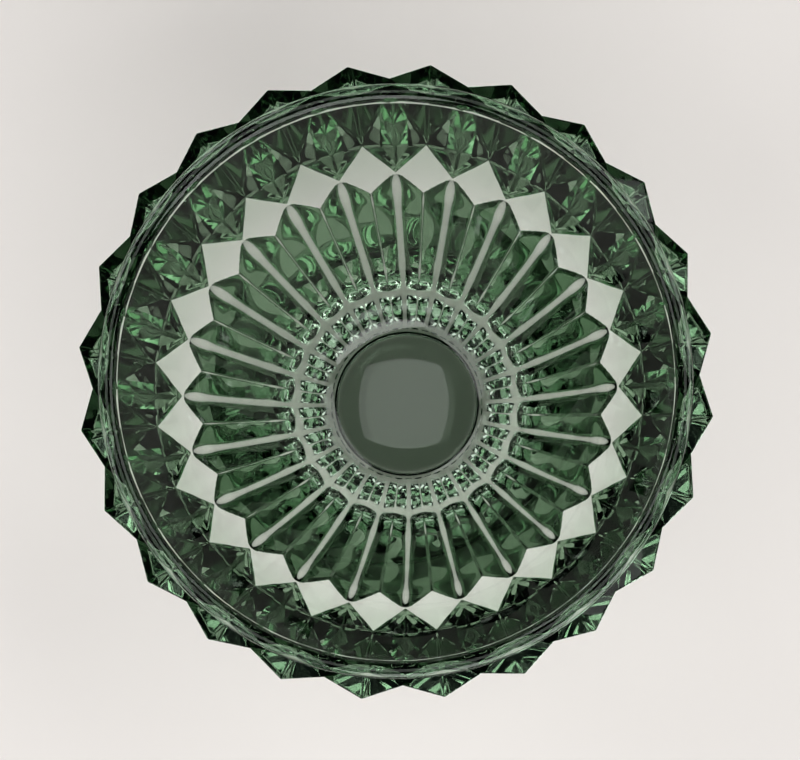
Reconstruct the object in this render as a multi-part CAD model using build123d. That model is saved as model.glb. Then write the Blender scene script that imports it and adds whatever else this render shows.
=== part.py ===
from build123d import *
import math
import os

os.makedirs("parts", exist_ok=True)

# Pressed-glass bell, standing mouth up on its flat foot.  Millimetres, +Z up, foot rests on z = 0.

# Overall
TIP_RADIUS = 90.0        # tips of the teeth, half the overall diameter
HEIGHT = 104.0           # floor to the crest of the lip
DIVISIONS = 24           # teeth, kites and flutes round the bell

# Lip
LIP_RADIUS = 81.0        # crest circle of the rounded lip
LIP_ROUND = 2.6          # radius of the lip bead

# Tooth and kite belt: depths are measured down from the lip crest
TIP_DEPTH = 3.4
VALLEY_RADIUS = 85.7     # between two teeth, level with their tips
KITE_TOP_RADIUS = 85.2   # outer point of each kite, below a tooth tip
KITE_TOP_DEPTH = 33.5
CORNER_RADIUS = 75.0     # side corners of the kites, below the valleys
CORNER_DEPTH = 38.5
KITE_REACH = 8.0         # how far a kite's flat runs in under the flutes

# Fluted wall: depth and radius of the ridges, and how deep the hollow of a flute is
FLUTE_DEPTHS = (30.0, 50.0, 64.0, 78.0, 89.0, 93.5)
RIDGE_RADII = (76.4, 71.2, 66.2, 59.8, 53.0, 50.0)
HOLLOWS = (4.4, 5.0, 5.0, 4.6, 4.2, 3.8)

# Shoulder below the flutes
SHOULDER_RADIUS = 48.0
SHOULDER_DEPTH = 93.0
SHOULDER_TOP_RADIUS = 44.0
SHOULDER_TOP_DEPTH = 87.0
SHOULDER_LEAVES_SEAT = (1, 0.25)     # direction of the curve in the section, outward then upward
SHOULDER_MEETS_TOP = (-0.6, 1)

# Inside of the bell
KINK_RADIUS = 65.4       # where the straight throat meets the curved bowl
KINK_DEPTH = 34.0
BOWL_RADII = (58.4, 50.4, 41.0, 31.0, 19.0)
BOWL_DEPTHS = (49.0, 63.0, 76.0, 84.8, 89.2)
BOWL_FLOOR_DEPTH = 90.5
BOWL_LEAVES_KINK = (-0.43, -1)       # direction of the curve in the section
BOWL_ENDS_LEVEL = (-1, 0)

# Foot
FOOT_THICKNESS = 5.0
FOOT_RADIUS = 30.0       # where it is fused to the bell
FOOT_WAIST = 29.0
FOOT_WAIST_HEIGHT = 3.0
FOOT_BASE_RADIUS = 29.5
FOOT_EDGE = 1.0

STEP = 360.0 / DIVISIONS
LIP_Z = HEIGHT - LIP_ROUND


def ring_point(radius, angle, depth):
    turn = math.radians(angle)
    return Vector(radius * math.cos(turn), radius * math.sin(turn), HEIGHT - depth)


def facet(*corners):
    return Face(Wire.make_polygon(corners, close=True))


def tooth_belt():
    """Solid bounded by the flats of the teeth, the grooves between them and the kites."""
    fall = (CORNER_DEPTH - KITE_TOP_DEPTH) / (KITE_TOP_RADIUS - CORNER_RADIUS * math.cos(math.radians(STEP / 2)))
    inner_depth = CORNER_DEPTH + KITE_REACH * fall
    inner_radius = CORNER_RADIUS * math.cos(math.radians(STEP / 2)) - KITE_REACH
    core = Vector(0, 0, HEIGHT - inner_depth)
    top = []
    faces = []
    for k in range(DIVISIONS):
        at_tip = k * STEP
        tip = ring_point(TIP_RADIUS, at_tip, TIP_DEPTH)
        kite_top = ring_point(KITE_TOP_RADIUS, at_tip, KITE_TOP_DEPTH)
        kite_inner = ring_point(inner_radius, at_tip, inner_depth)
        valley = ring_point(VALLEY_RADIUS, at_tip - STEP / 2, TIP_DEPTH)
        corner = ring_point(CORNER_RADIUS, at_tip - STEP / 2, CORNER_DEPTH)
        next_valley = ring_point(VALLEY_RADIUS, at_tip + STEP / 2, TIP_DEPTH)
        next_corner = ring_point(CORNER_RADIUS, at_tip + STEP / 2, CORNER_DEPTH)
        top += [valley, tip]
        faces.append(facet(valley, kite_top, tip))
        faces.append(facet(valley, corner, kite_top))
        faces.append(facet(next_valley, tip, kite_top))
        faces.append(facet(next_valley, kite_top, next_corner))
        faces.append(facet(kite_top, corner, kite_inner, next_corner))
        faces.append(facet(corner, core, kite_inner))
        faces.append(facet(kite_inner, core, next_corner))
    faces.append(facet(*top))
    return Solid(Shell(faces))


def flute_section(depth, ridge_radius, hollow):
    """One level of the fluted wall: hollow arcs at the tooth angles, between ridges at the valleys."""
    edges = []
    chord_middle = ridge_radius * math.cos(math.radians(STEP / 2))
    for k in range(DIVISIONS):
        start = ring_point(ridge_radius, (k - 0.5) * STEP, depth)
        middle = ring_point(min(chord_middle, ridge_radius - hollow), k * STEP, depth)
        end = ring_point(ridge_radius, (k + 0.5) * STEP, depth)
        edges.append(Edge.make_three_point_arc(start, middle, end))
    return Wire(edges)


def fluted_wall():
    levels = zip(FLUTE_DEPTHS, RIDGE_RADII, HOLLOWS)
    return Solid.make_loft([flute_section(*level) for level in levels])


def shoulder():
    """Smooth ring under the flutes, coming in to the foot."""
    with BuildPart() as part:
        with BuildSketch(Plane.XZ):
            with BuildLine():
                seat = (FOOT_RADIUS, FOOT_THICKNESS)
                belly = (SHOULDER_RADIUS, HEIGHT - SHOULDER_DEPTH)
                top = (SHOULDER_TOP_RADIUS, HEIGHT - SHOULDER_TOP_DEPTH)
                Spline(seat, belly, top, tangents=[SHOULDER_LEAVES_SEAT, SHOULDER_MEETS_TOP])
                Polyline(top, (0, HEIGHT - SHOULDER_TOP_DEPTH), (0, FOOT_THICKNESS), seat)
            make_face()
        revolve(axis=Axis.Z)
    return part.part.solid()


def bell_inside():
    """The open space of the bell: a straight throat, then a smooth bowl with a level middle."""
    with BuildPart() as part:
        with BuildSketch(Plane.XZ):
            with BuildLine():
                throat = (LIP_RADIUS - LIP_ROUND, LIP_Z)
                kink = (KINK_RADIUS, HEIGHT - KINK_DEPTH)
                floor = (0, HEIGHT - BOWL_FLOOR_DEPTH)
                bowl = [(r, HEIGHT - d) for r, d in zip(BOWL_RADII, BOWL_DEPTHS)]
                Line(throat, kink)
                Spline(kink, *bowl, floor, tangents=[BOWL_LEAVES_KINK, BOWL_ENDS_LEVEL])
                Polyline(floor, (0, HEIGHT), (throat[0], HEIGHT), throat)
            make_face()
        revolve(axis=Axis.Z)
    return part.part.solid()


def bell():
    bead = Pos(0, 0, LIP_Z) * Solid.make_torus(LIP_RADIUS, LIP_ROUND)
    outside = tooth_belt().fuse(fluted_wall(), shoulder())
    return outside.cut(bell_inside()).fuse(bead)


def foot():
    with BuildPart() as part:
        with BuildSketch(Plane.XZ):
            with BuildLine():
                base = (FOOT_BASE_RADIUS - FOOT_EDGE, 0)
                edge = (FOOT_BASE_RADIUS, FOOT_EDGE)
                waist = (FOOT_WAIST, FOOT_WAIST_HEIGHT)
                seat = (FOOT_RADIUS, FOOT_THICKNESS)
                Line((0, 0), base)
                RadiusArc(base, edge, -FOOT_EDGE)
                ThreePointArc(edge, waist, seat)
                Polyline(seat, (0, FOOT_THICKNESS), (0, 0))
            make_face()
        revolve(axis=Axis.Z)
    return part.part.solid()


def save(shape, name):
    solid = shape.solid()
    solid.label = name
    export_step(solid, f"parts/{name}.step")


save(bell(), "bell")
save(foot(), "foot")
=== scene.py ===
import math
import bpy
import numpy as np
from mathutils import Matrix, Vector


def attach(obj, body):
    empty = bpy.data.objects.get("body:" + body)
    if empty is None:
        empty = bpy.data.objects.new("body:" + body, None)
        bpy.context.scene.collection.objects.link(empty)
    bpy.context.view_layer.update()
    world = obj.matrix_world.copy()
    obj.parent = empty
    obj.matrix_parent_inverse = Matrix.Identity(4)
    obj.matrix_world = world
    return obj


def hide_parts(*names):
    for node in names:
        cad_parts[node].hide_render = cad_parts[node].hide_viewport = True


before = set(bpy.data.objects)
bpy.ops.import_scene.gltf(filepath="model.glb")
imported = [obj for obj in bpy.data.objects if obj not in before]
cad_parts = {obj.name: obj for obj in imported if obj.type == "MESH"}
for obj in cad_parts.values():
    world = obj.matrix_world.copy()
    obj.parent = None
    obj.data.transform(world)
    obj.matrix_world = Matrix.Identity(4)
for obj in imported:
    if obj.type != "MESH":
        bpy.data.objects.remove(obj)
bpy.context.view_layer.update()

# Dark green pressed-glass bell, standing mouth up on its foot.  Its own sizes are in millimetres.
# Depths are measured down from the crest of the lip.  Angle 0 is the tip of one tooth.
MM = 0.001
HEIGHT = 104.0

DIVISIONS = 24
STEP = 2 * math.pi / DIVISIONS
COLUMNS = 48                        # mesh columns in one division

# Lip
LIP_RADIUS = 81.0
LIP_ROUND = 2.6
LIP_START, LIP_END = -18, 190       # degrees round the bead, from the teeth over to the throat

# Teeth and kites: (radius, depth)
TOOTH_TIP = (90.0, 3.4)
VALLEY = (85.7, 3.4)
KITE_TOP = (85.2, 33.5)
KITE_CORNER = (75.0, 38.5)
KITE_BELLY = (74.0, 39.3)           # on the middle line: the kite is folded slightly outward
EDGE_ROUND = 0.30
GROOVE_ROUND = 0.03
TOP_ROUND = 0.45
BELT_ROUND = 0.2                    # where the belt meets the flutes
CREASE = 25                         # degrees: sharper folds keep a crisp edge

# Flutes: ridges stand below the valleys, hollows below the tips.  (radius, depth)
RIDGE = ((71.2, 50), (66.2, 64), (59.8, 78), (53.0, 89), (50.0, 93.5), (44.5, 97.6), (38.0, 99.1), (31.0, 99.3))
HOLLOW = ((66.2, 50), (61.2, 64), (55.2, 77.5), (49.0, 87.3), (47.8, 91.3), (46.4, 92.2), (43.6, 92.3),
          (40.0, 93.4), (35.5, 95.2), (32.2, 97.0), (30.6, 98.5))
FLUTE_TOP_HOLLOW = 5.3              # how far the hollow lies inside the ridge at the kites' corners
RIDGE_LEAN = 0.12                   # the ridge runs on up behind the belt, leaning out by this slope
HOLLOW_ROUND, RIDGE_ROUND = 0.04, 0.22

# Fans of rays find the outer surface.  (share of the way down, depth and radius of the start, tilt above level)
FAN = ((0, 8, 81, 61.5), (0.18, 10, 79.5, 5), (0.46, 36, 67.5, -20), (0.62, 62, 59, -30),
       (0.80, 86, 44.5, -50), (1, 92, 31.5, -90))
BELT_REACH = 10                     # the belt's planes count down to this far below the corners
TINY = 0.05                         # the shortest ray, and the smallest ring of the bowl
TOO_FAR, MISSED = 200.0, -50.0      # a ray that meets no plane, and one that meets no curve
ALONG_PLANE = 1e-3                  # a ray that climbs less than this runs along the plane
CURVE_SLACK = 3                     # a curve may lie this far behind the start of a ray

# Inside of the bell
THROAT_END = (65.4, 34.0)
BOWL = ((58.4, 49), (50.4, 63), (41.0, 76), (31.0, 84.8), (19.0, 89.2), (0, 90.5))

# Foot
FOOT_RADIUS = 30.0
FOOT_HEIGHT = 5.0
FOOT_WAIST = 0.8
FOOT_EDGE = 1.0
FOOT_INSET = 0.4                    # the base stands this far inside the seat's edge
SEAT_CURVE = 0.8                    # how the shoulder turns in to the seat: 1 is a straight cone

# Rows of the mesh
OUTER_ROWS, LIP_ROWS, THROAT_ROWS, BOWL_ROWS = 420, 26, 30, 140
CURVE_SAMPLES = 400


# ---- curves and surfaces -------------------------------------------------------------------

def monotone(xs, ys, x):
    """Smooth curve through the points that doesn't overshoot."""
    xs, ys = np.asarray(xs, float), np.asarray(ys, float)
    gap = np.diff(xs)
    rise = np.diff(ys) / gap
    slope = np.zeros_like(ys)
    for i in range(1, len(xs) - 1):
        if rise[i - 1] * rise[i] > 0:
            a, b = 2 * gap[i] + gap[i - 1], gap[i] + 2 * gap[i - 1]
            slope[i] = (a + b) / (a / rise[i - 1] + b / rise[i])
    slope[0] = 1.5 * rise[0] - 0.5 * slope[1]
    slope[-1] = 1.5 * rise[-1] - 0.5 * slope[-2]
    i = np.clip(np.searchsorted(xs, x) - 1, 0, len(xs) - 2)
    t = (x - xs[i]) / gap[i]
    here = (1 + 2 * t) * (1 - t) ** 2 * ys[i] + t * (1 - t) ** 2 * gap[i] * slope[i]
    there = t * t * (3 - 2 * t) * ys[i + 1] + t * t * (t - 1) * gap[i] * slope[i + 1]
    return here + there


def natural(xs, ys, x):
    """Natural cubic spline, for the optically smooth inside."""
    n, gap = len(xs), np.diff(xs)
    rise = np.diff(ys) / gap
    system = np.eye(n)
    right = np.zeros(n)
    for i in range(1, n - 1):
        system[i, i - 1:i + 2] = gap[i - 1], 2 * (gap[i - 1] + gap[i]), gap[i]
        right[i] = 6 * (rise[i] - rise[i - 1])
    bend = np.linalg.solve(system, right)
    i = np.clip(np.searchsorted(xs, x) - 1, 0, n - 2)
    t = x - xs[i]
    line = rise[i] - gap[i] * (2 * bend[i] + bend[i + 1]) / 6
    return ys[i] + t * line + t * t * bend[i] / 2 + t ** 3 * (bend[i + 1] - bend[i]) / (6 * gap[i])


def along(points, samples, curve=monotone):
    """Points at even steps along a curve through the given (radius, depth) points."""
    points = np.array(points, float)
    walked = np.concatenate([[0], np.cumsum(np.hypot(*np.diff(points, axis=0).T))])
    at = np.linspace(0, walked[-1], samples)
    return np.stack([curve(walked, points[:, 0], at), curve(walked, points[:, 1], at)], 1)


def soft_min(a, b, size):
    share = np.clip(0.5 + 0.5 * (b - a) / size, 0, 1)
    return b * (1 - share) + a * share - size * share * (1 - share)


def soft_max(a, b, size):
    return -soft_min(-a, -b, size)


def place(radius, angle, depth):
    return np.array([radius * math.cos(angle), radius * math.sin(angle), HEIGHT - depth])


def outward_plane(*corners):
    """Unit normal pointing away from the middle of the bell, and its distance."""
    normal = np.cross(corners[1] - corners[0], corners[2] - corners[0])
    normal /= np.linalg.norm(normal)
    middle = sum(corners) / 3 - np.array([0, 0, HEIGHT / 2])
    if normal @ middle < 0:
        normal = -normal
    return normal, normal @ corners[0]


def tooth_planes():
    tip = place(TOOTH_TIP[0], 0, TOOTH_TIP[1])
    kite = place(KITE_TOP[0], 0, KITE_TOP[1])
    valleys = [place(VALLEY[0], side * STEP / 2, VALLEY[1]) for side in (-1, 1)]
    corners = [place(KITE_CORNER[0], side * STEP / 2, KITE_CORNER[1]) for side in (-1, 1)]
    belly = place(KITE_BELLY[0], 0, KITE_BELLY[1])
    top = outward_plane(*valleys, tip)
    sides = []
    for valley, corner in zip(valleys, corners):
        sides.append(outward_plane(valley, tip, kite))
        sides.append(outward_plane(valley, kite, corner))
        sides.append(outward_plane(kite, corner, belly))
    return top, sides


def reach_plane(start, way, plane, turn):
    c, s = math.cos(turn), math.sin(turn)
    normal = np.array([[c, -s, 0], [s, c, 0], [0, 0, 1]]) @ plane[0]
    climb = way @ normal
    far = (plane[1] - start @ normal) / np.maximum(climb, ALONG_PLANE)
    return np.where(climb > ALONG_PLANE, np.minimum(far, TOO_FAR), TOO_FAR)


def reach_teeth(start, way, top, sides):
    """How far along each ray the belt's surface lies: the outermost of three neighbouring teeth."""
    best = None
    for turn in (-STEP, 0, STEP):
        reach = None
        for plane in sides:
            far = reach_plane(start, way, plane, turn)
            reach = far if reach is None else soft_min(reach, far, EDGE_ROUND)
        reach = soft_min(reach, reach_plane(start, way, top, turn), TOP_ROUND)
        best = reach if best is None else soft_max(best, reach, GROOVE_ROUND)
    return best


def reach_curve(start, way, curve):
    """First crossing of one ray in the plane of the axis with a curve of (radius, height) points."""
    ends = curve[:-1]
    edge = curve[1:] - ends
    cross = way[0] * edge[:, 1] - way[1] * edge[:, 0]
    cross = np.where(np.abs(cross) < 1e-12, 1e-12, cross)
    gap = ends - start
    far = (gap[:, 0] * edge[:, 1] - gap[:, 1] * edge[:, 0]) / cross
    part = (gap[:, 0] * way[1] - gap[:, 1] * way[0]) / cross
    hit = (part > -1e-6) & (part < 1 + 1e-6) & (far > -CURVE_SLACK)
    return far[hit].min() if hit.any() else MISSED


def pleat(share):
    """Height of a flute's side, 0 in the hollow to 1 on the ridge: flat flanks with rounded ends."""
    at = np.linspace(0, 1, CURVE_SAMPLES)
    slope = np.minimum(1, at / HOLLOW_ROUND) * np.minimum(1, (1 - at) / RIDGE_ROUND)
    height = np.concatenate([[0], np.cumsum((slope[1:] + slope[:-1]) / 2)])
    return np.interp(share, at, height / height[-1])


def outer_rows():
    """Rows of the outer surface from the lip down to the foot.  Each row is one fan of rays."""
    above = [(KITE_CORNER[0] + RIDGE_LEAN * KITE_CORNER[1], 0), KITE_CORNER]
    above_hollow = [(r - FLUTE_TOP_HOLLOW, d) for r, d in above]
    up = np.array([1, -1])
    ridge = along(above + list(RIDGE), CURVE_SAMPLES) * up + (0, HEIGHT)
    hollow = along(above_hollow + list(HOLLOW), CURVE_SAMPLES) * up + (0, HEIGHT)
    top, sides = tooth_planes()
    stops, *tracks = zip(*FAN)
    share = np.linspace(0, 1, OUTER_ROWS)
    depths, radii, tilts = (monotone(stops, track, share) for track in tracks)
    angle = (np.arange(COLUMNS) / COLUMNS - 0.5) * STEP
    side = pleat(np.abs(2 * angle / STEP))
    rows = []
    for depth, radius, tilt in zip(depths, radii, np.radians(tilts)):
        flat = np.array([math.cos(tilt), math.sin(tilt)])
        level = np.full(COLUMNS, HEIGHT - depth)
        start = np.stack([radius * np.cos(angle), radius * np.sin(angle), level], 1)
        way = np.stack([flat[0] * np.cos(angle), flat[0] * np.sin(angle), np.full(COLUMNS, flat[1])], 1)
        to_ridge = reach_curve(np.array([radius, HEIGHT - depth]), flat, ridge)
        to_hollow = reach_curve(np.array([radius, HEIGHT - depth]), flat, hollow)
        reach = to_hollow + (to_ridge - to_hollow) * side
        if depth < KITE_CORNER[1] + BELT_REACH:
            reach = soft_max(reach, reach_teeth(start, way, top, sides), BELT_ROUND)
        points = start + way * np.maximum(reach, TINY)[:, None]
        rows.append(round_the_bell(points))
    return rows


def round_the_bell(points):
    """One division's points repeated all the way round."""
    x, y, z = points.T
    turns = []
    for k in range(DIVISIONS):
        c, s = math.cos(k * STEP), math.sin(k * STEP)
        turns.append(np.stack([x * c - y * s, x * s + y * c, z], 1))
    return np.concatenate(turns)


def ring(radius, height):
    angle = (np.arange(DIVISIONS * COLUMNS) / COLUMNS - 0.5) * STEP
    return np.stack([radius * np.cos(angle), radius * np.sin(angle), np.full(len(angle), float(height))], 1)


def lip_rows():
    rows = []
    for turn in np.radians(np.linspace(LIP_START, LIP_END, LIP_ROWS)):
        radius = LIP_RADIUS + LIP_ROUND * math.cos(turn)
        height = HEIGHT - LIP_ROUND + LIP_ROUND * math.sin(turn)
        rows.append(ring(radius, height))
    return rows


def inner_rows():
    end = math.radians(LIP_END)
    throat = (LIP_RADIUS + LIP_ROUND * math.cos(end), LIP_ROUND - LIP_ROUND * math.sin(end))
    rows = []
    for share in np.linspace(0, 1, THROAT_ROWS)[1:]:
        radius = throat[0] + (THROAT_END[0] - throat[0]) * share
        rows.append(ring(radius, HEIGHT - throat[1] - (THROAT_END[1] - throat[1]) * share))
    half = [THROAT_END, *BOWL]
    whole = half + [(-r, d) for r, d in half[-2::-1]]
    bowl = along(whole, 2 * BOWL_ROWS - 1, natural)[:BOWL_ROWS]
    rows += [ring(max(radius, TINY), HEIGHT - depth) for radius, depth in bowl[1:-1]]
    return rows


def foot_rows(radius, height):
    """From the last row of the flutes round the shoulder's foot, down its waist and in under it."""
    rows = []
    for share in (0.25, 0.5, 0.75, 1):
        drop = (FOOT_HEIGHT - height) * share ** SEAT_CURVE
        rows.append(ring(radius + (FOOT_RADIUS - radius) * share, height + drop))
    for share in (0.8, 0.6, 0.4, 0.25):
        rows.append(ring(FOOT_RADIUS - FOOT_WAIST * math.sin(math.pi * share), FOOT_HEIGHT * share))
    for turn in np.radians(np.linspace(0, 90, 7)):
        flare = FOOT_EDGE * (math.cos(turn) - 1) - FOOT_INSET
        rows.append(ring(FOOT_RADIUS + flare, FOOT_EDGE * (1 - math.sin(turn))))
    for radius in (24, 18, 12, 6, 1):
        rows.append(ring(radius, 0))
    return rows


def glass_mesh():
    """One closed skin: in under the foot, up the outside, over the lip and down the inside."""
    outer = outer_rows()
    last_radius = np.hypot(outer[-1][:, 0], outer[-1][:, 1]).mean()
    foot = foot_rows(last_radius, outer[-1][:, 2].mean())
    rows = foot[::-1] + outer[::-1] + lip_rows() + inner_rows()
    around = DIVISIONS * COLUMNS
    points = np.concatenate([[[0, 0, 0]], *rows, [[0, 0, HEIGHT - BOWL[-1][1]]]]) * MM
    index = 1 + np.arange(len(rows) * around).reshape(len(rows), around)
    low, high = index[:-1], index[1:]
    quads = np.stack([low, np.roll(low, -1, 1), np.roll(high, -1, 1), high], -1).reshape(-1, 4)
    under = np.stack([np.zeros(around, int), np.roll(index[0], -1), index[0]], 1)
    over = np.stack([np.full(around, len(points) - 1), index[-1], np.roll(index[-1], -1)], 1)
    mesh = bpy.data.meshes.new("fused_glass")
    mesh.from_pydata(points.tolist(), [], quads.tolist() + under.tolist() + over.tolist())
    mesh.shade_smooth()
    mesh.set_sharp_from_angle(angle=math.radians(CREASE))
    return mesh


# ---- materials -----------------------------------------------------------------------------

def material(name):
    made = bpy.data.materials.new(name)
    made.use_nodes = True
    return made, made.node_tree.nodes, made.node_tree.links


def green_glass():
    """Bottle-green glass: the colour comes from the depth of glass that the light crosses."""
    made, nodes, links = material("green_glass")
    shader = nodes["Principled BSDF"]
    shader.inputs["Transmission Weight"].default_value = 1.0
    shader.inputs["IOR"].default_value = 1.52
    shader.inputs["Base Color"].default_value = (1, 1, 1, 1)
    where = nodes.new("ShaderNodeTexCoord")
    ripple = nodes.new("ShaderNodeTexNoise")
    ripple.inputs["Scale"].default_value = 38.0
    ripple.inputs["Detail"].default_value = 1.0
    links.new(where.outputs["Object"], ripple.inputs["Vector"])
    bump = nodes.new("ShaderNodeBump")
    bump.inputs["Strength"].default_value = 0.06
    bump.inputs["Distance"].default_value = 0.0006
    links.new(ripple.outputs["Fac"], bump.inputs["Height"])
    links.new(bump.outputs["Normal"], shader.inputs["Normal"])
    haze = nodes.new("ShaderNodeTexNoise")
    haze.inputs["Scale"].default_value = 90.0
    links.new(where.outputs["Object"], haze.inputs["Vector"])
    dull = nodes.new("ShaderNodeMapRange")
    dull.inputs["From Min"].default_value = 0.45
    dull.inputs["From Max"].default_value = 0.75
    dull.inputs["To Min"].default_value = 0.0
    dull.inputs["To Max"].default_value = 0.035
    links.new(haze.outputs["Fac"], dull.inputs["Value"])
    links.new(dull.outputs["Result"], shader.inputs["Roughness"])
    absorb = nodes.new("ShaderNodeVolumeAbsorption")
    absorb.inputs["Color"].default_value = (0.43, 0.59, 0.44, 1)
    absorb.inputs["Density"].default_value = 40.0
    links.new(absorb.outputs["Volume"], nodes["Material Output"].inputs["Volume"])
    return made


def pale_floor():
    made, nodes, links = material("pale_floor")
    shader = nodes["Principled BSDF"]
    shader.inputs["Roughness"].default_value = 0.9
    shader.inputs["Base Color"].default_value = (0.80, 0.765, 0.735, 1)
    return made


# ---- the object ----------------------------------------------------------------------------

glass = bpy.data.objects.new("fused_glass", glass_mesh())
bpy.context.collection.objects.link(glass)
glass.data.materials.append(green_glass())
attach(glass, "root")
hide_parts("bell", "foot")


# ---- floor, light and camera ---------------------------------------------------------------

FLOOR_HALF = 0.9
FLOOR_TOP = -0.0002                 # a hair under the foot, so that the two faces don't fight

floor_mesh = bpy.data.meshes.new("floor")
corners = [(x * FLOOR_HALF, y * FLOOR_HALF, FLOOR_TOP) for x, y in ((-1, -1), (1, -1), (1, 1), (-1, 1))]
floor_mesh.from_pydata(corners, [], [(0, 1, 2, 3)])
floor = bpy.data.objects.new("floor", floor_mesh)
bpy.context.collection.objects.link(floor)
floor_mesh.materials.append(pale_floor())

world = bpy.data.worlds.new("room")
world.use_nodes = True
world.node_tree.nodes["Background"].inputs["Color"].default_value = (0.80, 0.88, 1.0, 1)
world.node_tree.nodes["Background"].inputs["Strength"].default_value = 0.02
bpy.context.scene.world = world


def softbox(name, heading, height_angle, distance, size, power):
    """Rectangular soft light aimed at the bell.  Heading is round from +X, in degrees."""
    lamp = bpy.data.lights.new(name, "AREA")
    lamp.shape = "RECTANGLE"
    lamp.size, lamp.size_y = size
    lamp.energy = power
    light = bpy.data.objects.new(name, lamp)
    turn, rise = math.radians(heading), math.radians(height_angle)
    flat = math.cos(rise)
    light.location = Vector((math.cos(turn) * flat, math.sin(turn) * flat, math.sin(rise))) * distance
    light.rotation_euler = (-light.location).to_track_quat("-Z", "Y").to_euler()
    bpy.context.collection.objects.link(light)


softbox("far_window", heading=-76, height_angle=32, distance=2.0, size=(2.4, 1.5), power=34)
softbox("window", heading=128, height_angle=30, distance=2.0, size=(1.5, 1.0), power=10)
softbox("top_soft", heading=80, height_angle=86, distance=2.0, size=(1.1, 1.1), power=4.2)
softbox("left_fill", heading=205, height_angle=36, distance=1.8, size=(1.8, 1.1), power=11)
softbox("right_fill", heading=20, height_angle=36, distance=1.8, size=(1.8, 1.1), power=11)

# The photo is taken straight down, beside the middle, and cropped: the shift is that crop.
camera_data = bpy.data.cameras.new("camera")
camera_data.lens = 37.85
camera_data.sensor_width = 36
camera_data.clip_start = 0.01
camera_data.shift_x, camera_data.shift_y = -0.0439, 0.1013
camera = bpy.data.objects.new("camera", camera_data)
camera.location = (0.00747, -0.02372, 0.33774)
camera.rotation_euler = (0, 0, math.radians(-8.778))
bpy.context.collection.objects.link(camera)
bpy.context.scene.camera = camera
bpy.context.scene.view_settings.view_transform = "Standard"
bpy.context.scene.view_settings.look = "Medium High Contrast"
